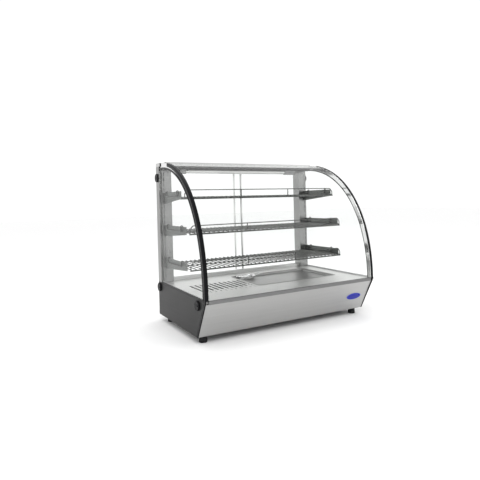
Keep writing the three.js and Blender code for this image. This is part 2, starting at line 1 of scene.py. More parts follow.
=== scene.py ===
"""Countertop hot food display case: its finishes and fine pieces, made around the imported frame.

Shapes are worked out in millimetres on the frame's own axes, and become metres when a piece is made:
+X to the right, +Y towards the sliding doors, +Z up.
"""
import math

import bmesh
import bpy
from mathutils import Matrix, Vector
from mathutils.geometry import tessellate_polygon


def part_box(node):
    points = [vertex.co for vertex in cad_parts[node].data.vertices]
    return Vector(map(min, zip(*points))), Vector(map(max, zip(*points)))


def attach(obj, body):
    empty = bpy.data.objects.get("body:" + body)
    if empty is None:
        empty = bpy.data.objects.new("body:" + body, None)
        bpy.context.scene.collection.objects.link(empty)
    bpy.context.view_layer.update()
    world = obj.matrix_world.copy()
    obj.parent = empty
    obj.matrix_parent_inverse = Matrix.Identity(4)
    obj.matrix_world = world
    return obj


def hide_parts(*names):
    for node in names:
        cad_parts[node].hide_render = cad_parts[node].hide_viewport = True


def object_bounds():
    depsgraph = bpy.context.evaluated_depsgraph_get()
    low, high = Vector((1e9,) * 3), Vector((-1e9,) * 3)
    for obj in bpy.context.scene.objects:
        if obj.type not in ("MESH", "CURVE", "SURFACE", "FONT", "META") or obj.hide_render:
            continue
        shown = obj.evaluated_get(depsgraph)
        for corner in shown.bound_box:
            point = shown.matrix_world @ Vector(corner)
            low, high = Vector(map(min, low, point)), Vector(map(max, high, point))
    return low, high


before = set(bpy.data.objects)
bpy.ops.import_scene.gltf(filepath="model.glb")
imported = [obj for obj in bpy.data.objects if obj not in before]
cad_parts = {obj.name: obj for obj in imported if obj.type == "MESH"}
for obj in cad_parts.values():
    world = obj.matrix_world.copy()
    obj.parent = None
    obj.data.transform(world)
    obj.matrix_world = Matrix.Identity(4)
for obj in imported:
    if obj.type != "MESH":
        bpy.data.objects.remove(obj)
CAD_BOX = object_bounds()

bl_info = {
    "name": "Hot Food Display Case",
    "version": (1, 0, 0),
    "blender": (4, 5, 0),
    "location": "View3D > Sidebar > Display Case",
    "description": "Makes the finishes and fine pieces of a heated display case around its frame",
    "category": "Object",
}

MM = 0.001


def node_box(name):
    """The lowest and highest corner of a frame node, in millimetres."""
    low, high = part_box(name)
    return low / MM, high / MM


# ---- driving sizes, in millimetres

FOOT_TOP = node_box("foot_front_left")[1].z
CASE_HALF_WIDTH = node_box("base_side_panel_right")[1].x
CASE_FRONT = CAD_BOX[0].y / MM
CASE_TOP = CAD_BOX[1].z / MM
DECK_TOP = node_box("deck_plate")[1].z
POST_FRONT = node_box("rear_post_left")[0].y
REAR_PANEL_OUTER = node_box("base_rear_panel")[1].y
GAP = 0.3
BASE_BOTTOM = FOOT_TOP + GAP
BASE_TOP = 164.0
FRONT_TOP_Y = -237.0
FRONT_BOTTOM_Y = -164.0
FRONT_LEAN = (FRONT_BOTTOM_Y - FRONT_TOP_Y) / (BASE_TOP - BASE_BOTTOM)
SHEET = 1.5

# The side of the glazing follows one quarter of a superellipse about this centre
CURVE_CENTRE = Vector((199.0, 162.0))
CURVE_DEPTH = CURVE_CENTRE.x - CASE_FRONT
CURVE_RISE = CASE_TOP - CURVE_CENTRE.y
CURVE_POWER = 2.2


# ---- settings a user may change


class CaseSizes(bpy.types.PropertyGroup):
    """Sizes of the fine pieces."""

    shelf_wire: bpy.props.FloatProperty(
        name="Shelf wire", description="Diameter of the shelf floor and fence wires",
        default=0.0038, min=0.002, max=0.006, unit="LENGTH", precision=4)
    rail_wire: bpy.props.FloatProperty(
        name="Rail wire", description="Diameter of the rails that carry the shelf floor",
        default=0.006, min=0.004, max=0.009, unit="LENGTH", precision=4)
    sheet_edge: bpy.props.FloatProperty(
        name="Sheet edge", description="Radius that folded and cut sheet edges are eased to",
        default=0.0006, min=0.0001, max=0.0015, unit="LENGTH", precision=4)
    curve_steps: bpy.props.IntProperty(
        name="Curve steps", description="Steps along the curved glazing", default=96, min=24, max=200)


class CaseColours(bpy.types.PropertyGroup):
    """Colours of the finishes."""

    front_steel: bpy.props.FloatVectorProperty(
        name="Front steel", description="Brushed steel of the base", subtype="COLOR",
        default=(0.46, 0.46, 0.455), min=0.0, max=1.0)
    deck_steel: bpy.props.FloatVectorProperty(
        name="Deck steel", description="Satin steel of the deck", subtype="COLOR",
        default=(0.70, 0.70, 0.69), min=0.0, max=1.0)
    pan_steel: bpy.props.FloatVectorProperty(
        name="Pan steel", description="Satin steel of the water pan", subtype="COLOR",
        default=(0.34, 0.34, 0.335), min=0.0, max=1.0)
    # the side sheets' dark grey is partly their coat and partly painted shade
    side_steel: bpy.props.FloatVectorProperty(
        name="Side sheets", description="Dark grey coating of the side sheets", subtype="COLOR",
        default=(0.034, 0.034, 0.034), min=0.0, max=1.0)
    bracket_steel: bpy.props.FloatVectorProperty(
        name="Bracket steel", description="Satin steel of the shelf brackets", subtype="COLOR",
        default=(0.125, 0.132, 0.125), min=0.0, max=1.0)
    badge: bpy.props.FloatVectorProperty(
        name="Badge", description="Enamel of the plain badge", subtype="COLOR",
        default=(0.003, 0.010, 0.30), min=0.0, max=1.0)


# ---- finishes


class Signal:
    """A shader socket that reads as a number, so that a mask is written as an expression."""

    def __init__(self, finish, socket):
        self.finish = finish
        self.socket = socket

    def maths(self, operation, first, second):
        """A Math node on two numbers or signals."""
        return self.finish.node("ShaderNodeMath", {"operation": operation}, {0: first, 1: second})

    def __add__(self, other):
        return self.maths("ADD", self, other)

    def __sub__(self, other):
        return self.maths("SUBTRACT", self, other)

    def __rsub__(self, other):
        return self.maths("SUBTRACT", other, self)

    def __mul__(self, other):
        return self.maths("MULTIPLY", self, other)

    def __pow__(self, other):
        return self.maths("POWER", self, other)

    __radd__ = __add__
    __rmul__ = __mul__


class Finish:
    """One material, and the one method that all its pattern nodes are made with."""

    def __init__(self, name, colour, roughness, metallic=0.0, **fixed):
        self.name = name
        self.material = bpy.data.materials.new(f"{name}_finish")
        self.material.use_nodes = True
        self.tree = self.material.node_tree
        self.shader = next(n for n in self.tree.nodes if n.type == "BSDF_PRINCIPLED")
        self.output = next(n for n in self.tree.nodes if n.type == "OUTPUT_MATERIAL")
        self.colour = tuple(colour)
        settings = {"Base Color": (*colour, 1.0), "Roughness": roughness, "Metallic": metallic}
        settings.update(fixed)
        for socket, value in settings.items():
            self.shader.inputs[socket].default_value = value

    def node(self, kind, settings=None, values=None, output=0):
        """A new node: its settings first, then the values or links of its sockets."""
        made = self.tree.nodes.new(kind)
        for key, value in (settings or {}).items():
            setattr(made, key, value)
        for key, value in (values or {}).items():
            if isinstance(value, Signal):
                self.tree.links.new(value.socket, made.inputs[key])
            else:
                made.inputs[key].default_value = value
        return Signal(self, made.outputs[output])

    def vary(self, socket, signal):
        """Drives one of the finish's own sockets by a pattern."""
        self.tree.links.new(signal.socket, self.shader.inputs[socket])

    def noise(self, scale, detail=2.0):
        """Noise with its own number of cells in each metre along X, Y and Z."""
        place = self.node("ShaderNodeTexCoord", output="Object")
        scaled = self.node("ShaderNodeMapping", None, {"Vector": place, "Scale": scale})
        return self.node("ShaderNodeTexNoise", None, {"Vector": scaled, "Scale": 1.0, "Detail": detail})

    def mix(self, mask, low, high):
        """A colour between two colours, by a mask."""
        colours = {0: mask, 6: (*low, 1.0), 7: (*high, 1.0)}
        return self.node("ShaderNodeMix", {"data_type": "RGBA"}, colours, output=2)

    def shades(self, mask, spread):
        """The finish's own colour, darker by spread where the mask is 0 and lighter where it is 1."""
        low = [channel * (1.0 - spread) for channel in self.colour]
        high = [min(1.0, channel * (1.0 + spread)) for channel in self.colour]
        self.vary("Base Color", self.mix(mask, low, high))

    def relief(self, signal, depth, strength=0.5):
        """Bumps as deep as the given millimetres."""
        bumps = {"Height": signal, "Distance": depth * MM, "Strength": strength}
        self.vary("Normal", self.node("ShaderNodeBump", None, bumps))


ALONG_X = (5.0, 900.0, 900.0)
ALONG_Y = (900.0, 5.0, 900.0)
ALONG_Z = (900.0, 900.0, 5.0)


def brushed_steel(name, colour, grain, roughness=0.32):
    """Brushed sheet: fine grain along one axis, longer faint streaks, and soft handling marks."""
    finish = Finish(name, colour, roughness, metallic=1.0)
    fine = finish.noise(grain, detail=3.0)
    streaks = finish.noise(tuple(0.12 * cells if cells > 100 else 0.5 * cells for cells in grain))
    marks = finish.noise((7.0, 7.0, 7.0), detail=3.0)
    tone = fine * 0.5 + streaks * 0.35 + marks * 0.15
    finish.shades(tone, 0.16)
    finish.vary("Roughness", fine * 0.16 + marks * 0.12 + (roughness - 0.14))
    finish.relief(fine * 0.7 + streaks * 0.3, 0.03, 0.35)
    return finish


def satin_steel(name, colour, roughness=0.3):
    """Cold-rolled sheet or wire with an even satin surface and faint rolling clouds."""
    finish = Finish(name, colour, roughness, metallic=1.0)
    pores = finish.noise((1500.0, 1500.0, 1500.0))
    clouds = finish.noise((14.0, 9.0, 14.0), detail=4.0)
    finish.shades(pores * 0.4 + clouds * 0.6, 0.12)
    finish.vary("Roughness", clouds * 0.18 + pores * 0.08 + (roughness - 0.13))
    finish.relief(pores, 0.01, 0.3)
    return finish


def polished_steel():
    """Buffed bright strip with soft smears and hairlines."""
    finish = Finish("polished_steel", (0.80, 0.80, 0.80), 0.1, metallic=1.0)
    smears = finish.noise((22.0, 22.0, 9.0), detail=4.0)
    hairlines = finish.noise((1200.0, 40.0, 40.0), detail=2.0)
    finish.shades(smears, 0.05)
    finish.vary("Roughness", smears * 0.08 + hairlines * 0.05 + 0.04)
    finish.relief(hairlines, 0.004, 0.25)
    return finish


def coated_sheet(name, colour, grain):
    """Dark coated steel: a satin coat over the brushed grain, which still shows faintly. On the side sheets
    the dark colour is partly painted shade.
    """
    finish = Finish(name, colour, 0.45, metallic=0.55, **{"Specular IOR Level": 0.2})
    fine = finish.noise(grain, detail=3.0)
    clouds = finish.noise((5.0, 5.0, 5.0), detail=3.0)
    finish.shades(fine * 0.5 + clouds * 0.5, 0.14)
    finish.vary("Roughness", fine * 0.12 + clouds * 0.10 + 0.34)
    finish.relief(fine, 0.02, 0.3)
    return finish


def moulded(name, colour, roughness, grain=1800.0, coat=0.0, shine=0.25):
    """Moulded plastic or rubber: a fine texture and slightly uneven gloss."""
    finish = Finish(name, colour, roughness, **{
        "Coat Weight": coat, "Coat Roughness": 0.12, "Specular IOR Level": shine})
    texture = finish.noise((grain, grain, grain))
    clouds = finish.noise((60.0, 60.0, 60.0), detail=3.0)
    finish.shades(texture * 0.5 + clouds * 0.5, 0.22)
    finish.vary("Roughness", clouds * 0.16 + texture * 0.08 + (roughness - 0.12))
    finish.relief(texture, 0.03, 0.4)
    return finish


def heated_sheath():
    """Heater tube: steel with straw and blue temper colours in bands."""
    finish = Finish("heated_sheath", (0.16, 0.14, 0.12), 0.5, metallic=1.0)
    bands = finish.noise((26.0, 26.0, 26.0), detail=3.0)
    finish.vary("Base Color", finish.mix(bands, (0.10, 0.07, 0.04), (0.04, 0.045, 0.07)))
    finish.vary("Roughness", bands * 0.25 + 0.38)
    finish.relief(finish.noise((900.0, 900.0, 900.0)), 0.03)
    return finish


def zinc_sheet():
    """Zinc-plated sheet with its crystal spangle."""
    finish = Finish("zinc_sheet", (0.045, 0.046, 0.048), 0.5, metallic=1.0)
    place = finish.node("ShaderNodeTexCoord", output="Object")
    spangle = finish.node(
        "ShaderNodeTexVoronoi", {"feature": "F1"}, {"Vector": place, "Scale": 120.0}, output="Color")
    shade = finish.node("ShaderNodeRGBToBW", None, {"Color": spangle})
    finish.shades(shade, 0.22)
    finish.vary("Roughness", shade * 0.2 + 0.3)
    finish.relief(shade, 0.01, 0.2)
    return finish


def clear_glass():
    """A pane that lets light straight through and mirrors by its angle, with faint wiping marks."""
    finish = Finish("pane_glass", (1.0, 1.0, 1.0), 0.02, metallic=1.0)
    wiped = finish.noise((9.0, 9.0, 9.0), detail=4.0)
    grazing = finish.node("ShaderNodeLayerWeight", None, {"Blend": 0.5}, output="Facing")
    mirrored_share = grazing ** 5 * 0.35 + 0.006 + wiped * 0.003
    through = finish.node("ShaderNodeBsdfTransparent", None, {"Color": (0.994, 0.998, 0.996, 1.0)})
    mirror = Signal(finish, finish.shader.outputs[0])
    blend = finish.node("ShaderNodeMixShader", None, {0: mirrored_share, 1: through, 2: mirror})
    finish.tree.links.new(blend.socket, finish.output.inputs["Surface"])
    return finish


def opal_tube():
    """Milky lamp glass with a faint haze along the tube."""
    finish = Finish("opal_tube", (0.58, 0.58, 0.57), 0.22, **{"Coat Weight": 0.6})
    haze = finish.noise((20.0, 120.0, 120.0), detail=3.0)
    finish.shades(haze, 0.05)
    finish.vary("Roughness", haze * 0.12 + 0.16)
    return finish


FINISHES = {}


def make_finishes(colours):
    """Every finish of the case, kept by name."""
    made = [
        brushed_steel("front_brushed", tuple(colours.front_steel), ALONG_X),
        brushed_steel("top_brushed", (0.56, 0.56, 0.555), ALONG_X, 0.28),
        # partly painted shade: the posts' steel is set darker than the other brushed steel, for the shade of
        # their slotted fronts
        brushed_steel("post_brushed_painted_shade", (0.30, 0.30, 0.297), ALONG_Z, 0.3),
        brushed_steel("deck_satin", tuple(colours.deck_steel), ALONG_X, 0.36),
        # partly painted shade: the channel's aluminium is far darker than the tracks', for the shade along
        # the ledge at the top of the front sheet
        brushed_steel("channel_aluminium", (0.19, 0.19, 0.19), ALONG_X, 0.34),
        brushed_steel("track_aluminium", (0.62, 0.62, 0.615), ALONG_X, 0.3),
        brushed_steel("pull_aluminium", (0.78, 0.78, 0.77), ALONG_Z, 0.3),
        brushed_steel("bead_aluminium", (0.035, 0.035, 0.036), ALONG_Z, 0.34),
        satin_steel("pan_satin", tuple(colours.pan_steel), 0.32),
        satin_steel("bracket_satin", tuple(colours.bracket_steel), 0.34),
        satin_steel("bright_wire", (0.085, 0.088, 0.084), 0.2),
        satin_steel("motor_steel", (0.55, 0.55, 0.54), 0.35),
        # partly a dark coat and partly painted shade on the side sheets
        coated_sheet("side_coat_and_painted_shade", tuple(colours.side_steel), ALONG_Y),
        # partly the rail's own black and partly painted shade: near black with almost no shine, for the
        # shadow under the top panel
        moulded("rail_black_and_painted_shade", (0.004, 0.004, 0.004), 0.5, 1200.0, shine=0.03),
        coated_sheet("motor_coating", (0.03, 0.03, 0.032), ALONG_Z),
        polished_steel(), heated_sheath(), zinc_sheet(), opal_tube(), clear_glass(),
        moulded("trim_black", (0.004, 0.004, 0.005), 0.24, 900.0, shine=0.09),
        # painted shade: near-black steel stands for the shade inside the base, on the deck's underside and on
        # the rear sheet's inner face
        satin_steel("painted_shade_steel", (0.022, 0.021, 0.020), 0.6),
        moulded("gasket_pale", (0.52, 0.52, 0.52), 0.4),
        moulded("gasket_black", (0.006, 0.006, 0.006), 0.6, shine=0.1),
        moulded("rubber_black", (0.006, 0.006, 0.007), 0.6, shine=0.25),
        moulded("plastic_black", (0.005, 0.005, 0.006), 0.4, 2200.0, shine=0.15),
        moulded("lamp_grey", (0.19, 0.19, 0.19), 0.45),
        moulded("rocker_green", (0.02, 0.30, 0.07), 0.22, 600.0, 0.5),
        moulded("ceramic_cream", (0.68, 0.65, 0.56), 0.5),
        moulded("marking_white", (0.75, 0.75, 0.75), 0.4),
        moulded("badge_enamel", tuple(colours.badge), 0.3, 400.0, 0.1),
        moulded("badge_border", (0.08, 0.10, 0.55), 0.3, 400.0, 0.1),
    ]
    FINISHES.update((finish.name, finish.material) for finish in made)


# ---- shape helpers


def arc(centre, radius, start, end, steps):
    """Points on an arc, with angles in degrees."""
    turns = [math.radians(start + (end - start) * i / steps) for i in range(steps + 1)]
    return [(centre[0] + radius * math.cos(t), centre[1] + radius * math.sin(t)) for t in turns]


def rounded_box(x0, x1, y0, y1, radius, steps=4):
    """A rectangle with rounded corners, anticlockwise."""
    corners = [(x1 - radius, y0 + radius, -90), (x1 - radius, y1 - radius, 0),
               (x0 + radius, y1 - radius, 90), (x0 + radius, y0 + radius, 180)]
    return [point for x, y, start in corners for point in arc((x, y), radius, start, start + 90, steps)]


def circle(x, y, radius, steps=32):
    """Points on a full circle."""
    return arc((x, y), radius, 0, 360, steps)[:-1]


def oval(x, y, half_length, half_width, steps=14):
    """Two half circles joined by straight sides, along X."""
    straight = max(0.0, half_length - half_width)
    right = arc((x + straight, y), half_width, -90, 90, steps)
    left = arc((x - straight, y), half_width, 90, 270, steps)
    return right + left


def rounded_path(points, radius, steps=6):
    """A route with each corner turned into a smooth bend."""
    points = [Vector(p) for p in points]
    route = [points[0]]
    for before, corner, after in zip(points, points[1:], points[2:]):
        into = (before - corner).normalized()
        out = (after - corner).normalized()
        half = into.angle(out) / 2
        reach = min(radius / math.tan(half), 0.49 * (before - corner).length, 0.49 * (after - corner).length)
        start, end = corner + into * reach, corner + out * reach
        bend = reach * math.tan(half)
        middle = corner + (into + out).normalized() * (reach / math.cos(half))
        for i in range(steps + 1):
            share = i / steps
            point = start.lerp(end, share) - middle
            route.append(middle + point.normalized() * bend)
    route.append(points[-1])
    return route


def smooth_path(points, steps=8):
    """A Catmull-Rom curve through the points."""
    points = [Vector(p) for p in points]
    ends = [2 * points[0] - points[1], *points, 2 * points[-1] - points[-2]]
    route = []
    for a, b, c, d in zip(ends, ends[1:], ends[2:], ends[3:]):
        for i in range(steps):
            t = i / steps
            route.append(0.5 * (2 * b + (c - a) * t + (2 * a - 5 * b + 4 * c - d) * t * t
                                + (3 * b - a - 3 * c + d) * t ** 3))
    return [*route, points[-1]]


class Shape:
    """Faces gathered for one piece, in millimetres, each with the number of its finish."""

    def __init__(self):
        self.points = []
        self.faces = []
        self.finishes = []

    def add(self, points, faces, finish=0):
        first = len(self.points)
        self.points += [Vector(p) for p in points]
        self.faces += [[first + i for i in face] for face in faces]
        self.finishes += [finish] * len(faces)
        return self

    def join(self, other, place=Matrix.Identity(4)):
        """Adds another shape, moved by a matrix."""
        first = len(self.points)
        self.points += [place @ p for p in other.points]
        self.faces += [[first + i for i in face] for face in other.faces]
        self.finishes += other.finishes
        return self

    def paint(self, finish, chosen):
        """Gives another finish to the faces whose points are all chosen."""
        for number, face in enumerate(self.faces):
            if all(chosen(self.points[i]) for i in face):
                self.finishes[number] = finish
        return self

    def loft(self, rings, finish=0, closed=False):
        """A skin over rings with equal numbers of points, capped at its ends unless it closes on itself."""
        count = len(rings[0])
        points = [p for ring in rings for p in ring]
        faces = []
        spans = len(rings) if closed else len(rings) - 1
        for r in range(spans):
            here, there = r * count, (r + 1) % len(rings) * count
            for i in range(count):
                j = (i + 1) % count
                faces.append([here + i, here + j, there + j, there + i])
        if not closed:
            last = (len(rings) - 1) * count
            faces.append(list(range(count)))
            faces.append([last + i for i in range(count)])
        return self.add(points, faces, finish)

    def tube(self, route, radius, sides=12):
        """A round wire or tube along a route, turned as little as the route allows."""
        route = [Vector(p) for p in route]
        ahead = [(b - a).normalized() for a, b in zip(route, route[1:])]
        tangents = [ahead[0], *((a + b).normalized() for a, b in zip(ahead, ahead[1:])), ahead[-1]]
        across = tangents[0].orthogonal().normalized()
        rings = []
        for point, tangent in zip(route, tangents):
            across = (across - tangent * across.dot(tangent)).normalized()
            third = tangent.cross(across)
            rings.append([point + radius * (math.cos(t) * across + math.sin(t) * third)
                          for t in (2 * math.pi * i / sides for i in range(sides))])
        return self.loft(rings)

    def prism(self, outline, low, high, axis="Z", finish=0):
        """An outline pushed along an axis: (x, y) along Z, (y, z) along X or (x, z) along Y."""
        rings = [[put_on(axis, p, level) for p in outline] for level in (low, high)]
        return self.loft(rings, finish)

    def block(self, low, high, finish=0):
        """A plain block between two corners."""
        outline = [(low[0], low[1]), (high[0], low[1]), (high[0], high[1]), (low[0], high[1])]
        return self.prism(outline, low[2], high[2], "Z", finish)

    def plate(self, loops, low, high, axis="Z", finish=0):
        """A sheet with holes: the first loop is its outline and the others are cut through it."""
        flat = [[Vector((*p, 0.0)) for p in loop] for loop in loops]
        count = sum(len(loop) for loop in flat)
        triangles = tessellate_polygon(flat)
        points = [put_on(axis, p, level) for level in (low, high) for loop in flat for p in loop]
        faces = [list(t) for t in triangles] + [[i + count for i in t] for t in triangles]
        first = 0
        for loop in flat:
            size = len(loop)
            for i in range(size):
                here, there = first + i, first + (i + 1) % size
                faces.append([here, there, there + count, here + count])
            first += size
        return self.add(points, faces, finish)

    def lathe(self, profile, segments=48, finish=0, flutes=None, closed=False):
        """A turned shape about Z, with (count, depth, lowest, highest) flutes in a band of heights."""
        count, depth, lowest, highest = flutes or (0, 0.0, 0.0, 0.0)
        rings = []
        for radius, height in profile:
            cut = depth if flutes and lowest <= height <= highest else 0.0
            ring = []
            for i in range(segments):
                turn = 2 * math.pi * i / segments
                reach = radius - cut * 0.5 * (1 - math.cos(count * turn))
                ring.append((reach * math.cos(turn), reach * math.sin(turn), height))
            rings.append(ring)
        return self.loft(rings, finish, closed)


def put_on(axis, point, level):
    """A flat point set at a level along an axis."""
    if axis == "X":
        return Vector((level, point[0], point[1]))
    if axis == "Y":
        return Vector((point[0], level, point[1]))
    return Vector((point[0], point[1], level))


def facing(axis, place):
    """A matrix that turns local +Z to the named direction and moves to a place."""
    name, angle = {"+X": ("Y", 90), "-X": ("Y", -90), "+Y": ("X", -90)}[axis]
    return Matrix.Translation(Vector(place)) @ Matrix.Rotation(math.radians(angle), 4, name)


def make_piece(name, shape, finishes, stands_for=(), body="case", place=Matrix.Identity(4), edge=0.0):
    """Makes the mesh object at its place, eases its edges and sets it on its body."""
    mesh = bpy.data.meshes.new(name)
    mesh.from_pydata([(place @ p) * MM for p in shape.points], [], shape.faces)
    mesh.polygons.foreach_set("material_index", shape.finishes)
    for finish in finishes:
        mesh.materials.append(FINISHES[finish])
    solid = bmesh.new()
    solid.from_mesh(mesh)
    bmesh.ops.recalc_face_normals(solid, faces=solid.faces)
    solid.to_mesh(mesh)
    solid.free()
    mesh.polygons.foreach_set("use_smooth", [True] * len(mesh.polygons))
    mesh.set_sharp_from_angle(angle=math.radians(35))
    piece = bpy.data.objects.new(name, mesh)
    bpy.context.scene.collection.objects.link(piece)
    if edge:
        ease_edges(piece, edge)
    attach(piece, body)
    if stands_for:
        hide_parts(*stands_for)
    return piece


def ease_edges(thing, radius):
    """Rounds sharp edges by a radius in millimetres."""
    bevel = thing.modifiers.new("eased_edges", "BEVEL")
    bevel.width = radius * MM
    bevel.segments = 2
    bevel.limit_method = "ANGLE"
    bevel.angle_limit = math.radians(40)
    thing.modifiers.new("even_shading", "WEIGHTED_NORMAL")


def dress(names, finish, edge=0.0):
    """Gives frame nodes a finish and eased edges."""
    for name in names:
        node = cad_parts[name]
        node.material_slots[0].material = FINISHES[finish]
        if edge:
            weld = node.modifiers.new("one_skin", "WELD")
            weld.merge_threshold = 0.01 * MM
            flat = node.modifiers.new("flat_faces", "DECIMATE")
            flat.decimate_type = "DISSOLVE"
            flat.angle_limit = math.radians(1)
            ease_edges(node, edge)


def both_sides(name):
    """The names of a left and right pair of nodes."""
    return [f"{name}_left", f"{name}_right"]


# ---- curve of the glazing


def curve_point(turn, inset):
    """(y, z) on the glazing curve, set in from its outer face."""
    y = CURVE_CENTRE.x - (CURVE_DEPTH - inset) * abs(math.cos(turn)) ** (2 / CURVE_POWER)
    z = CURVE_CENTRE.y + (CURVE_RISE - inset) * math.sin(turn) ** (2 / CURVE_POWER)
    return y, z


def curve_ends(inset, foot_z, end_y):
    """The turns at which the curve is at a height near its foot and at a depth near its top."""
    rise = max(0.0, (foot_z - CURVE_CENTRE.y) / (CURVE_RISE - inset))
    run = max(0.0, (CURVE_CENTRE.x - end_y) / (CURVE_DEPTH - inset))
    return math.asin(rise ** (CURVE_POWER / 2)), math.acos(min(1.0, run) ** (CURVE_POWER / 2))


def curve_line(inset, foot_z, end_y, steps):
    """Points (y, z) up the curve."""
    start, end = curve_ends(inset, foot_z, end_y)
    return [curve_point(start + (end - start) * i / steps, inset) for i in range(steps + 1)]


def curve_rings(section, foot_z, end_y, steps):
    """Rings up the curve for a section of (x, inset) points, run straight where the foot is below it."""
    lines = [curve_line(inset, foot_z, end_y, steps) for _, inset in section]
    rings = [[(x, *line[i]) for (x, _), line in zip(section, lines)] for i in range(steps + 1)]
    if foot_z < CURVE_CENTRE.y:
        rings.insert(0, [(x, y, foot_z) for x, y, _ in rings[0]])
    return rings


def mirrored(rings, side):
    """Rings for the left (-1) or right (1) side."""
    return [[(side * x, y, z) for x, y, z in ring] for ring in rings]


SIDES = (("left", -1), ("right", 1))


# ---- base sheets, pan, feet and badge


def turned(outline):
    """An outline with its two directions swapped."""
    return [(b, a) for a, b in outline]


def slot_outline(x, low, high, width):
    """A slot with round ends, long in the second direction."""
    return turned(oval((low + high) / 2, x, (high - low) / 2, width / 2, 6))


KNOB_X = -250.0
CONTROL_Z = 100.0
ROCKER_X = {"power_rocker": -190.0, "light_rocker": -150.0}
GLAND = (320.0, 55.0)
DISH_CENTRE = (-32.0, 106.0)
FOOT_X = 352.0
FOOT_Y = {"front": -138.0, "rear": 186.0}
BADGE = {"x": 311.0, "z": 88.0, "half_length": 38.0, "half_width": 16.0}
PAN = {"x0": -88.0, "x1": 308.0, "y0": -98.0, "y1": 150.0, "rim": 7.0, "depth": 11.0}
AIR_SLOT_X = [-318 + 21.2 * i for i in range(11)]
FAN_X = -200.0
AT_FAN = Matrix.Translation((FAN_X, 0, 0))


def pan_outline(inset, radius):
    """The pan's outline, set in all round."""
    return rounded_box(
        PAN["x0"] + inset, PAN["x1"] - inset, PAN["y0"] + inset, PAN["y1"] - inset, radius, 8)


def make_deck():
    """The deck sheet with its two rows of air slots, its well for the pan and its two folds."""
    low, high = node_box("deck_plate")
    under = high.z - SHEET
    loops = [rounded_box(low.x, high.x, low.y, high.y, 2.0), pan_outline(PAN["rim"], 8.0)]
    for x in AIR_SLOT_X:
        loops.append(slot_outline(x, -74, 58, 8.5))
        loops.append(slot_outline(x, -106, -83, 3))
    shape = Shape().plate(loops, under, high.z)
    shape.block((-380.4, low.y, 154), (380.4, low.y + SHEET, high.z - 0.4))
    shape.block((low.x, high.y - SHEET, low.z), (high.x, high.y, high.z - 0.4))
    # painted shade: the deck's underside is made near black for the shade inside the base
    shape.paint(1, lambda point: abs(point.z - under) < 0.01)
    make_piece("deck", shape, ["deck_satin", "painted_shade_steel"], ["deck_plate"])


def make_rear_panel():
    """The rear sheet with its control holes and vents."""
    low, high = node_box("base_rear_panel")
    loops = [rounded_box(low.x, high.x, low.z, high.z, 2.0), circle(KNOB_X, CONTROL_Z, 4), circle(*GLAND, 8)]
    loops += [rounded_box(x - 11, x + 11, 86, 114, 1.5) for x in ROCKER_X.values()]
    loops += [slot_outline(40 + 16 * i, 70, 130, 6) for i in range(10)]
    # painted shade: the rear sheet's inner face is made near black for the shade inside the base
    shape = Shape().plate(loops, low.y, high.y, "Y").paint(1, lambda point: point.y < low.y + 0.01)
    make_piece("rear_panel", shape, ["front_brushed", "painted_shade_steel"], ["base_rear_panel"])


def make_bottom_tray():
    """The bottom sheet with its air inlet under the fan."""
    low, high = node_box("base_bottom_tray")
    loops = [rounded_box(low.x, high.x, low.y, high.y, 2.0)]
    loops += [slot_outline(FAN_X + (i - 3.5) * 16, -40, 40, 6) for i in range(8)]
    shape = Shape().plate(loops, low.z, low.z + SHEET)
    shape.block((low.x, high.y - SHEET, low.z + 0.2), (high.x, high.y, high.z))
    make_piece("bottom_tray", shape, ["zinc_sheet"], ["base_bottom_tray"])


def make_pan():
    """The stamped water pan with its rolled rim."""
    rim = DECK_TOP + GAP
    floor = rim + 1 - PAN["depth"]
    section = [
        (11.5, floor + 1.0), (10.0, floor + 1.3), (9.0, floor + 2.2), (8.5, floor + 3.4), (7.9, rim + 0.4),
        (7.1, rim + 0.9), (6.3, rim + 1.0), (0.5, rim + 1.0), (0.0, rim + 0.5), (0.4, rim + 0.02),
        (7.3, rim + 0.02), (7.5, floor + 3.0), (8.2, floor + 1.0), (9.6, floor)]
    rings = [[(x, y, z) for x, y in pan_outline(inset, 13.0 - 0.6 * inset)] for inset, z in section]
    make_piece("stamped_pan", Shape().loft(rings), ["pan_satin"], ["water_pan"], "water_pan")


def make_dish():
    """The oval dish with its wire handle."""
    base = node_box("water_dish")[0].z
    top = base + 14.0
    section = [
        (7.0, base + 1.2), (4.4, base + 1.5), (2.6, base + 2.6), (1.7, base + 4.6), (1.2, top - 1.6),
        (0.6, top - 0.6), (-0.6, top - 0.05), (-2.6, top), (-3.6, top - 0.5), (-4.0, top - 1.2),
        (-3.4, top - 1.9), (-2.4, top - 1.5), (-0.8, top - 1.3), (0.0, top - 2.4), (0.5, base + 4.0),
        (1.6, base + 1.6), (3.4, base + 0.3), (6.0, base)]
    rings = [[(x, y, z) for x, y in oval(0, 0, 42 - inset, 27 - inset, 20)] for inset, z in section]
    shape = Shape().loft(rings)
    root = top - 0.9
    half = [(41.6, 9, root), (49, 9.8, root + 1.2), (58, 9.9, root + 2.8), (67, 8.0, root + 3.8),
            (71.6, 3.2, root + 4)]
    loop = half + [(x, -y, z) for x, y, z in reversed(half)]
    shape.tube(smooth_path(loop, 6), 1.9, 14)
    make_piece("shallow_dish", shape, ["polished_steel"], ["water_dish"], "water_dish",
               Matrix.Translation((*DISH_CENTRE, 0)))


def make_feet():
    """The four turned rubber feet."""
    top = FOOT_TOP
    profile = [
        (0.05, 0.5), (9.0, 0.5), (9.6, 0), (13.0, 0), (14.3, 0.6), (14.9, 1.7), (14.8, 5.4), (14.2, 6.0),
        (14.2, 6.9), (14.6, 7.5), (14.3, 14.4), (13.7, 15.0), (13.7, 15.9), (14.1, 16.5), (14.0, top - 0.6),
        (13.4, top), (0.05, top)]
    for end, y in FOOT_Y.items():
        for side, sign in SIDES:
            place = Matrix.Translation((FOOT_X * sign, y, 0))
            make_piece(f"rubber_foot_{end}_{side}", Shape().lathe(profile, 56), ["rubber_black"],
                       [f"foot_{end}_{side}"], place=place)


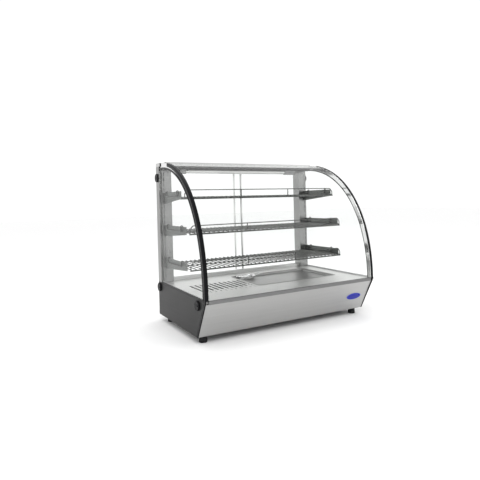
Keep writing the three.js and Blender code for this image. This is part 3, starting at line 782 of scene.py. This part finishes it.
def make_badge():
    """A plain domed oval with a pale border, set square on the leaning front."""
    section = [
        (0.0, 0.0, 1), (0.0, 0.7, 1), (0.5, 1.15, 1), (1.4, 1.3, 1), (2.2, 1.15, 0), (2.6, 1.0, 0),
        (5.0, 1.15, 0), (8.0, 1.3, 0), (12.0, 1.4, 0)]
    turns = [2 * math.pi * i / 64 for i in range(64)]
    rings = []
    for inset, height, _ in section:
        half_length, half_width = BADGE["half_length"] - 1.6 * inset, BADGE["half_width"] - inset
        rings.append([(half_length * math.cos(t), half_width * math.sin(t), height) for t in turns])
    shape = Shape().loft(rings)
    border_faces = len(turns) * sum(border for _, _, border in section[1:])
    shape.finishes = [1 if i < border_faces else 0 for i in range(len(shape.faces))]
    up = Vector((0, -FRONT_LEAN, 1)).normalized()
    out = Vector((0, -1, -FRONT_LEAN)).normalized()
    place = Matrix((Vector((1, 0, 0)), up, out)).transposed().to_4x4()
    front_y = FRONT_TOP_Y + (BASE_TOP - BADGE["z"]) * FRONT_LEAN
    place.translation = Vector((BADGE["x"], front_y, BADGE["z"])) + GAP * out
    make_piece("oval_badge", shape, ["badge_enamel", "badge_border"], ["badge"], place=place)


# ---- heating


def make_heater():
    """The heater tube, bent to four passes, with its collars and terminals."""
    passes = [-50, -20, 10, 40]
    near, far, terminal, height = -96, -332, -60, 126
    route = [(terminal, passes[0], height)]
    for i, y in enumerate(passes):
        ends = (near, far) if i % 2 == 0 else (far, near)
        if i:
            route.append((ends[0], y, height))
        route.append((ends[1], y, height))
    route[-1] = (terminal, passes[-1], height)
    shape = Shape().tube(rounded_path(route, 14.9, 10), 4.0, 16)
    for y in (passes[0], passes[-1]):
        collar = [(0.05, 0), (5.4, 0), (6.0, 0.6), (6.0, 9), (5.2, 9.8), (0.05, 9.8)]
        shape.join(Shape().lathe(collar, 24, 1), facing("+X", (terminal - 9, y, height)))
        shape.join(Shape().lathe([(0.05, 0), (1.5, 0), (1.5, 9), (0.05, 9.4)], 12, 2),
                   facing("+X", (terminal, y, height)))
    make_piece("heater_tube", shape, ["heated_sheath", "ceramic_cream", "track_aluminium"],
               ["heating_element"])


def make_fan_mount():
    """The fan's mounting plate, its ring and the bar that holds the motor."""
    low = node_box("fan_shroud")[0].z + 2
    loops = [rounded_box(-95, 95, -95, 95, 8, 6), circle(0, 0, 74, 72)]
    loops += [circle(x, y, 2.2, 14) for x in (-86, 86) for y in (-86, 86)]
    shape = Shape().plate(loops, low, low + SHEET)
    ring = [(72, low + 0.3), (76, low + 0.3), (76, low + 22.5), (75.2, low + 24), (72.8, low + 24),
            (72, low + 22.5)]
    shape.lathe(ring, 96, closed=True)
    shape.plate([rounded_box(-90, 90, -9, 9, 3), circle(0, 0, 6, 24)], low - 2, low - 0.05)
    make_piece("fan_ring", shape, ["zinc_sheet"], ["fan_shroud"], place=AT_FAN)


def make_motor():
    """The ribbed motor can with its shaft."""
    profile = [(0.05, 40), (26, 40), (29, 41), (30.5, 43), (30.5, 50), (32, 51), (32, 53), (30.6, 54)]
    for base in (54, 58, 62, 66):
        profile += [(30.6, base + 1), (32, base + 1.6), (32, base + 3), (30.6, base + 3.6)]
    profile += [(30.6, 71), (32, 72), (32, 75), (30, 78), (26, 80), (8.5, 80), (8, 80.4), (8, 81.5),
                (3, 81.5), (3, 86.2), (2.6, 86.6), (0.05, 86.6)]
    make_piece("fan_motor_can", Shape().lathe(profile), ["motor_coating"], ["fan_motor"],
               place=AT_FAN)


def make_impeller():
    """The fan wheel: a hub and five bowed, tilted blades."""
    hub = [(0.05, 87), (17.4, 87), (18, 87.6), (18, 99), (17, 100.8), (13, 102), (5, 102), (4.4, 101.4),
           (0.05, 101.4)]
    shape = Shape().lathe(hub)
    for blade in range(5):
        rings = []
        for i in range(15):
            share = i / 14
            reach = 16.5 + 51.5 * share
            taper = 1 - 0.25 * max(0.0, share - 0.8) / 0.2
            chord = (17 + 9 * math.sin(math.pi * (0.62 * share))) * taper
            tilt = 0.62 - 0.16 * share
            ring = []
            for across, lift in blade_section(chord, 1.3):
                bowed = lift + 2.0 * (1 - (2 * across / chord) ** 2)
                ring.append((reach, across * math.cos(tilt) - bowed * math.sin(tilt),
                             94.0 + across * math.sin(tilt) + bowed * math.cos(tilt)))
            rings.append(ring)
        shape.join(Shape().loft(rings), Matrix.Rotation(math.tau * blade / 5, 4, "Z"))
    make_piece("fan_wheel", shape, ["motor_steel"], ["fan_impeller"], "fan_impeller", AT_FAN)


def blade_section(chord, thickness, points=7):
    """A thin lens, as (across, lift) points around it."""
    half, thin = chord / 2, thickness / 2
    places = [-half + chord * i / (points - 1) for i in range(points)]
    lens = [(a, thin * math.sqrt(max(0.0, 1 - (a / half) ** 2)) + 0.15) for a in places]
    return lens + [(a, -t) for a, t in reversed(lens)]


# ---- controls on the rear panel


def make_knob():
    """The fluted thermostat knob with its pointer line."""
    grip = [
        (0.05, 0), (20.6, 0), (21, 0.5), (21, 1.6), (20.2, 2.4), (17.0, 3.6), (16.0, 4.4), (15.4, 6),
        (14.7, 12.2), (13.9, 13.6), (12.6, 14.4), (11.6, 14.5), (0.05, 14.3)]
    shape = Shape().lathe(grip, 144, flutes=(18, 0.9, 4.0, 13.0))
    shape.prism(rounded_box(-1.4, 1.4, 3.2, 13.2, 0.8), 14.0, 15.4, finish=1)
    make_piece("fluted_knob", shape, ["plastic_black", "marking_white"], ["thermostat_knob"],
               "thermostat_knob", facing("+Y", (KNOB_X, REAR_PANEL_OUTER + 0.5, CONTROL_Z)))


def make_scale():
    """Printed marks round the knob."""
    shape = Shape()
    for i in range(10):
        turn = math.radians(225 - 30 * i)
        tick = Shape().prism(rounded_box(-0.6, 0.6, 23.4, 27.4 if i % 3 == 0 else 25.6, 0.3, 2), 0, 0.12)
        shape.join(tick, Matrix.Rotation(turn - math.pi / 2, 4, "Z"))
    make_piece("thermostat_scale", shape, ["plastic_black"],
               place=facing("+Y", (KNOB_X, REAR_PANEL_OUTER, CONTROL_Z)))


def make_rockers():
    """The two rocker switches, each a dished cap in a bezel."""
    crown = [(-12, -4), (12, -4), (12, 3.6), (11.4, 4.2)]
    crown += [(11.4 - 22.8 * i / 16, 2.4 + 1.8 * (1 - 2 * i / 16) ** 2) for i in range(1, 16)]
    crown += [(-11.4, 4.2), (-12, 3.6)]
    for name, finish, slot in (("power_rocker", "rocker_green", "green_plastic"),
                               ("light_rocker", "plastic_black", "black_plastic")):
        x = ROCKER_X[name]
        place = facing("+Y", (x, REAR_PANEL_OUTER + 1, CONTROL_Z)) @ Matrix.Rotation(-0.16, 4, "X")
        make_piece(f"{name}_cap", Shape().prism(crown, -9, 9, "X"), [finish], [name], name, place, 0.5)
        loops = [rounded_box(x - 13.5, x + 13.5, 83.5, 116.5, 2.0),
                 rounded_box(x - 9.7, x + 9.7, 86.6, 113.4, 0.8)]
        bezel = Shape().plate(loops, REAR_PANEL_OUTER + 0.02, REAR_PANEL_OUTER + 1.6, "Y")
        make_piece(f"{name}_bezel", bezel, ["plastic_black"])


def make_gland():
    """The cable gland: a ribbed nut on a hexagon."""
    body = [
        (0.05, -4), (4.5, -4), (4.5, 11.4), (5.0, 12), (7.4, 12), (8.1, 11), (9.0, 5.6), (9.2, 5.0),
        (9.2, 0.6), (7.4, 0.6), (7.4, -10), (0.05, -10)]
    shape = Shape().lathe(body, 72, flutes=(16, 0.7, 5.2, 11.2))
    hexagon = [(12 * math.cos(math.radians(60 * i)), 12 * math.sin(math.radians(60 * i))) for i in range(6)]
    shape.prism(hexagon, 0.6, 5.0)
    make_piece("cord_gland", shape, ["plastic_black"], ["cable_gland"],
               place=facing("+Y", (GLAND[0], REAR_PANEL_OUTER, GLAND[1])), edge=0.4)


# ---- lamp, glazing and its caps


def make_lamp():
    """The lamp tube with its end ferrules, and the two holders."""
    low, high = node_box("lamp_tube")
    length = high.x - low.x
    ferrule = [(0.05, 0), (6.8, 0), (7.5, 0.7), (7.5, 12), (7.2, 12.4), (0.05, 12.4)]
    shape = Shape().lathe([(7.15, 12.2), (7.3, 14), (7.3, length - 14), (7.15, length - 12.2)], 40)
    shape.lathe(ferrule, 40, 1)
    far_end = Matrix.Translation((0, 0, length)) @ Matrix.Rotation(math.pi, 4, "X")
    shape.join(Shape().lathe(ferrule, 40, 1), far_end)
    make_piece("opal_lamp", shape, ["opal_tube", "track_aluminium"], ["lamp_tube"],
               place=facing("+X", (low.x, 158, 627.5)))
    for side in ("left", "right"):
        low, high = node_box(f"lamp_holder_{side}")
        body = [(149.6, 618), (166.4, 618), (167, 620), (167, 636.7), (164, 636.7), (164, 648.2),
                (152, 648.2), (152, 636.7), (149, 636.7), (149, 620)]
        shape = Shape().prism(body, low.x, high.x, "X")
        make_piece(f"lamp_socket_{side}", shape, ["lamp_grey"],
                   [f"lamp_holder_{side}"], edge=0.8)


def make_glazing(steps):
    """The curved front pane and the two side panes."""
    half = node_box("front_glass")[1].x
    pane = [(-half, 3.0), (half, 3.0), (half, 7.0), (-half, 7.0)]
    shape = Shape().loft(curve_rings(pane, 157.0, 145.0, steps))
    make_piece("curved_front_pane", shape, ["pane_glass"], ["front_glass"], edge=0.3)
    for side, sign in SIDES:
        outline = curve_line(27.7, 168.6, 199.0, steps)
        outline += [(202, outline[-1][1]), (202, 168.6)]
        shape = Shape().prism(outline, sign * 376.5, sign * 380.5, "X")
        make_piece(f"side_pane_{side}", shape, ["pane_glass"],
                   [f"side_glass_{side}"], edge=0.3)


def make_trims(steps):
    """The bright side rails and the black covers over them."""
    bar = [(372.3, 3.0), (373.1, 2.2), (380.7, 2.2), (380.7, 20.0), (373.1, 20.0), (372.3, 19.2)]
    cover = [
        (372.3, 0.9), (372.8, 0.2), (373.6, 0.0), (382.8, 0.0), (384.2, 0.5), (385.0, 1.8), (385.0, 13.6),
        (384.4, 14.6), (383.6, 15.0), (381.0, 15.0), (381.0, 1.5), (372.3, 1.5)]
    strip = [(-239, 164.4), (-229.5, 164.4), (-156.5, BASE_BOTTOM), (-164.8, BASE_BOTTOM), (-238.6, 160)]
    for side, sign in SIDES:
        shape = Shape().loft(mirrored(curve_rings(bar, 165.5, 191.5, steps), sign))
        make_piece(f"curved_rail_{side}", shape, ["polished_steel"], [f"side_trim_{side}"])
        shape = Shape().loft(mirrored(curve_rings(cover, 164.4, 104.0, steps), sign))
        shape.prism(strip, sign * 381, sign * 385, "X")
        make_piece(f"curved_cover_{side}", shape, ["trim_black"], [f"trim_cover_{side}"])


def make_gaskets(steps):
    """The side gaskets: black inside, a bead outside, and a pale sill along the deck."""
    inner_half = [(376.0, 21.2), (376.5, 20.7), (380.7, 20.7), (380.7, 27.0), (376.5, 27.0), (376.0, 26.5)]
    outer_half = [(380.7, 20.7), (382.7, 20.9), (383.5, 22.0), (383.5, 25.7), (382.7, 26.8), (380.7, 27.0)]
    foot = DECK_TOP + 0.6
    front = curve_point(0.0, 27.0)[0] - 0.5
    for side, sign in SIDES:
        shape = Shape()
        for finish, section in enumerate((inner_half, outer_half)):
            shape.loft(mirrored(curve_rings(section, foot, 199.0, steps), sign), finish)
            xs = [sign * x for x, _ in section]
            shape.block((min(xs), front, foot), (max(xs), 202, foot + 4), 1 if finish else 2)
        finishes = ["gasket_black", "bead_aluminium", "gasket_pale"]
        make_piece(f"curved_gasket_{side}", shape, finishes, [f"glass_gasket_{side}"])


def make_caps():
    """The round fixing caps, each with its grip rib."""
    profile = [
        (0.05, 0), (17.2, 0), (17.8, 0.5), (18.0, 1.4), (18.0, 4.6), (17.5, 5.8), (16.4, 6.6), (15.2, 6.8),
        (14.4, 6.6), (13.8, 6.2), (0.05, 6.2)]
    rib = Shape().prism(rounded_box(-2.2, 2.2, -12, 12, 2.0, 6), 6.0, 8.1)
    corners = {"rear_top": (220, 604), "rear_lower": (220, 143), "front_lower": (-176, 141)}
    for corner, (y, z) in corners.items():
        for side, sign in SIDES:
            outwards = facing("+X" if sign > 0 else "-X", (sign * (CASE_HALF_WIDTH + GAP), y, z))
            make_piece(f"fixing_cap_{corner}_{side}", Shape().lathe(profile, 64).join(rib), ["plastic_black"],
                       [f"glass_cap_{corner}_{side}"], place=outwards, edge=0.3)


# ---- wire shelves

# The height of each shelf's bracket, and how far forward the bracket reaches
SHELVES = {"top": (541, -4), "middle": (406, -47), "bottom": (271, -47)}


def make_shelf(name, level, bracket_front, rod, rail):
    """A welded wire shelf: floor rods on rails, a fence with sloping shoulders, and a hanger each side."""
    reach, rear = 363.0, POST_FRONT - 6
    floor, fence, top = level - 23.0, bracket_front - 17.0, level + 4.0
    under_rail = floor - rod - rail + 0.4
    shape = Shape()
    for i in range(37):
        x = -360 + 20 * i
        shape.tube([(x, fence + 0.6, floor), (x, rear, floor)], rod, 10)
    for y in (fence, rear - rail):
        shape.tube([(-reach, y, under_rail), (reach, y, under_rail)], rail, 16)
    middle = (fence + rear) / 2
    shape.tube([(-reach, middle, floor - 2 * rod + 0.3), (reach, middle, floor - 2 * rod + 0.3)], rod, 12)
    side, shoulder = reach - 2, reach - 14
    outline = [(-side, fence, under_rail), (-side, fence, top - 14), (-shoulder, fence, top),
               (shoulder, fence, top), (side, fence, top - 14), (side, fence, under_rail)]
    shape.tube(rounded_path(outline, 9, 6), rod, 12)
    for x in (-115, 115):
        shape.tube([(x, fence, under_rail), (x, fence, top)], rod, 12)
    for sign in (-1, 1):
        add_hanger(shape, sign, level, bracket_front, floor, rod)
    make_piece(f"wire_shelf_{name}", shape, ["bright_wire"], [f"shelf_{name}"])


def add_hanger(shape, sign, level, bracket_front, floor, rod):
    """A wire loop that hangs the shelf over one bracket, and the wire it is welded to."""
    length = POST_FRONT - bracket_front
    inside, outside = sign * 363.5, sign * 372
    over, low, under = level + 2.5, level - 17.0, floor - rod
    first, last = bracket_front + 0.2 * length, bracket_front + 0.83 * length
    route = [(inside, first, under), (inside, first, over), (outside, first, over), (outside, first, low),
             (outside, last, low), (outside, last, over), (inside, last, over), (inside, last, under)]
    shape.tube(rounded_path(route, 3.6, 5), rod, 12)
    shape.tube([(inside, first - 6, under), (inside, last + 6, under)], rod, 12)


# ---- stage


CAMERA_PLACE = (-0.981, -1.5638, 0.4973)
CAMERA_HEADING = -0.508
CAMERA_ROLL = -0.0262
# Each light's place and size in metres, and its power in watts
LIGHTS = {
    "key_light": ((-1.6, -2.2, 2.6), 2.2, 30.0),
    "fill_light": ((2.4, -1.4, 1.6), 1.8, 10.0),
    "top_light": ((0.0, 0.6, 2.8), 2.0, 14.0),
}


def make_stage():
    """The pale floor, the soft lights and the camera."""
    scene = bpy.context.scene
    scene.view_settings.view_transform = "Standard"
    world = bpy.data.worlds.new("studio")
    world.use_nodes = True
    sky = world.node_tree.nodes["Background"]
    sky.inputs["Color"].default_value = (1.0, 1.0, 1.0, 1.0)
    sky.inputs["Strength"].default_value = 1.06
    scene.world = world

    backing = Finish("floor_paper", (0.93, 0.93, 0.93), 0.9)
    backing.shades(backing.noise((40.0, 40.0, 40.0)), 0.01)
    bpy.ops.mesh.primitive_plane_add(size=30.0, location=(0.0, 0.0, 0.0))
    floor = bpy.context.object
    floor.name = "floor"
    floor.data.materials.append(backing.material)

    for name, (place, size, power) in LIGHTS.items():
        light = bpy.data.lights.new(name, "AREA")
        light.size = size
        light.energy = power
        lamp = bpy.data.objects.new(name, light)
        lamp.location = place
        aim = Vector((0.0, 0.0, 0.3)) - Vector(place)
        lamp.rotation_euler = aim.to_track_quat("-Z", "Y").to_euler()
        scene.collection.objects.link(lamp)

    lens = bpy.data.cameras.new("camera")
    lens.lens = 32.70
    lens.sensor_width = 36.0
    lens.shift_y = -0.081
    camera = bpy.data.objects.new("camera", lens)
    turn = Matrix.Rotation(CAMERA_HEADING, 4, "Z") @ Matrix.Rotation(math.radians(90), 4, "X")
    camera.matrix_world = Matrix.Translation(CAMERA_PLACE) @ turn @ Matrix.Rotation(CAMERA_ROLL, 4, "Z")
    scene.collection.objects.link(camera)
    scene.camera = camera


# ---- operators and panel


class DISPLAYCASE_OT_finishes(bpy.types.Operator):
    """Make every finish of the case"""

    bl_idname = "display_case.finishes"
    bl_label = "Finishes"
    bl_options = {"REGISTER", "UNDO"}

    def execute(self, context):
        make_finishes(context.scene.case_colours)
        return {"FINISHED"}


class DISPLAYCASE_OT_base(bpy.types.Operator):
    """Finish the base and make its deck, rear panel and bottom tray"""

    bl_idname = "display_case.base"
    bl_label = "Base"
    bl_options = {"REGISTER", "UNDO"}

    def execute(self, context):
        sizes = context.scene.case_sizes
        edge = sizes.sheet_edge / MM
        dress(["base_front_panel"], "front_brushed", 2 * edge)
        # the side sheets' darkness is partly painted shade
        dress(both_sides("base_side_panel"), "side_coat_and_painted_shade", edge)
        # the channel's dark grey is partly painted shade along the ledge
        dress(["front_glass_channel"], "channel_aluminium", edge)
        make_deck()
        make_rear_panel()
        make_bottom_tray()
        return {"FINISHED"}


class DISPLAYCASE_OT_water_pan(bpy.types.Operator):
    """Make the water pan and the dish that stands in it"""

    bl_idname = "display_case.water_pan"
    bl_label = "Water Pan and Dish"
    bl_options = {"REGISTER", "UNDO"}

    def execute(self, context):
        make_pan()
        make_dish()
        return {"FINISHED"}


class DISPLAYCASE_OT_feet(bpy.types.Operator):
    """Make the rubber feet"""

    bl_idname = "display_case.feet"
    bl_label = "Feet"
    bl_options = {"REGISTER", "UNDO"}

    def execute(self, context):
        make_feet()
        return {"FINISHED"}


class DISPLAYCASE_OT_badge(bpy.types.Operator):
    """Make the plain oval badge"""

    bl_idname = "display_case.badge"
    bl_label = "Badge"
    bl_options = {"REGISTER", "UNDO"}

    def execute(self, context):
        make_badge()
        return {"FINISHED"}


class DISPLAYCASE_OT_heating(bpy.types.Operator):
    """Make the heater, fan ring, motor and fan wheel, and finish the thermostat"""

    bl_idname = "display_case.heating"
    bl_label = "Heating"
    bl_options = {"REGISTER", "UNDO"}

    def execute(self, context):
        make_heater()
        make_fan_mount()
        make_motor()
        make_impeller()
        dress(["thermostat_body"], "ceramic_cream", 0.5)
        return {"FINISHED"}


class DISPLAYCASE_OT_controls(bpy.types.Operator):
    """Make the knob, its scale, the rocker switches and the cable gland"""

    bl_idname = "display_case.controls"
    bl_label = "Controls"
    bl_options = {"REGISTER", "UNDO"}

    def execute(self, context):
        make_knob()
        make_scale()
        make_rockers()
        make_gland()
        return {"FINISHED"}


class DISPLAYCASE_OT_frame(bpy.types.Operator):
    """Finish the posts, top, front rail, door tracks and sliding doors"""

    bl_idname = "display_case.frame"
    bl_label = "Frame and Doors"
    bl_options = {"REGISTER", "UNDO"}

    def execute(self, context):
        sizes = context.scene.case_sizes
        edge = sizes.sheet_edge / MM
        # the posts' dark tone is partly painted shade of their slotted fronts
        dress(both_sides("rear_post"), "post_brushed_painted_shade", 0.4)
        dress(["top_panel"], "top_brushed", edge)
        # the front rail's near black is partly painted shade under the top panel
        dress(["top_front_rail"], "rail_black_and_painted_shade", edge)
        dress(["door_track_bottom", "door_track_top"], "track_aluminium", 0.4)
        dress(both_sides("door_glass"), "pane_glass", 0.4)
        dress(both_sides("door_pull"), "pull_aluminium", 0.8)
        return {"FINISHED"}


class DISPLAYCASE_OT_lamp(bpy.types.Operator):
    """Make the lamp and its two holders"""

    bl_idname = "display_case.lamp"
    bl_label = "Lamp"
    bl_options = {"REGISTER", "UNDO"}

    def execute(self, context):
        make_lamp()
        return {"FINISHED"}


class DISPLAYCASE_OT_glazing(bpy.types.Operator):
    """Make the curved front pane, side panes, rails, covers and gaskets"""

    bl_idname = "display_case.glazing"
    bl_label = "Glazing"
    bl_options = {"REGISTER", "UNDO"}

    def execute(self, context):
        sizes = context.scene.case_sizes
        make_glazing(sizes.curve_steps)
        make_trims(sizes.curve_steps)
        make_gaskets(sizes.curve_steps)
        return {"FINISHED"}


class DISPLAYCASE_OT_caps(bpy.types.Operator):
    """Make the round fixing caps at the sides"""

    bl_idname = "display_case.caps"
    bl_label = "Fixing Caps"
    bl_options = {"REGISTER", "UNDO"}

    def execute(self, context):
        make_caps()
        return {"FINISHED"}


class DISPLAYCASE_OT_shelves(bpy.types.Operator):
    """Make the three wire shelves and finish their brackets"""

    bl_idname = "display_case.shelves"
    bl_label = "Shelves"
    bl_options = {"REGISTER", "UNDO"}

    def execute(self, context):
        sizes = context.scene.case_sizes
        rod, rail = sizes.shelf_wire / 2 / MM, sizes.rail_wire / 2 / MM
        for name, (level, bracket_front) in SHELVES.items():
            make_shelf(name, level, bracket_front, rod, rail)
            dress(both_sides(f"shelf_bracket_{name}"), "bracket_satin", 0.3)
        return {"FINISHED"}


class DISPLAYCASE_OT_stage(bpy.types.Operator):
    """Make the floor, lights and camera"""

    bl_idname = "display_case.stage"
    bl_label = "Stage"
    bl_options = {"REGISTER", "UNDO"}

    def execute(self, context):
        make_stage()
        return {"FINISHED"}


STEPS = (
    DISPLAYCASE_OT_finishes, DISPLAYCASE_OT_base, DISPLAYCASE_OT_water_pan, DISPLAYCASE_OT_feet,
    DISPLAYCASE_OT_badge, DISPLAYCASE_OT_heating, DISPLAYCASE_OT_controls, DISPLAYCASE_OT_frame,
    DISPLAYCASE_OT_lamp, DISPLAYCASE_OT_glazing, DISPLAYCASE_OT_caps, DISPLAYCASE_OT_shelves,
    DISPLAYCASE_OT_stage)


class DISPLAYCASE_PT_panel(bpy.types.Panel):
    """Sizes, colours and steps of the display case"""

    bl_idname = "DISPLAYCASE_PT_panel"
    bl_label = "Display Case"
    bl_space_type = "VIEW_3D"
    bl_region_type = "UI"
    bl_category = "Display Case"

    def draw(self, context):
        for settings in (context.scene.case_sizes, context.scene.case_colours):
            box = self.layout.box()
            for name in settings.__annotations__:
                box.prop(settings, name)
        for step in STEPS:
            self.layout.operator(step.bl_idname)


CLASSES = (CaseSizes, CaseColours, *STEPS, DISPLAYCASE_PT_panel)


def register():
    for made in CLASSES:
        bpy.utils.register_class(made)
    bpy.types.Scene.case_sizes = bpy.props.PointerProperty(type=CaseSizes)
    bpy.types.Scene.case_colours = bpy.props.PointerProperty(type=CaseColours)


def unregister():
    del bpy.types.Scene.case_colours
    del bpy.types.Scene.case_sizes
    for made in reversed(CLASSES):
        bpy.utils.unregister_class(made)


def main():
    register()
    for step in STEPS:
        group, name = step.bl_idname.split(".")
        getattr(getattr(bpy.ops, group), name)()


if __name__ == "__main__":
    main()
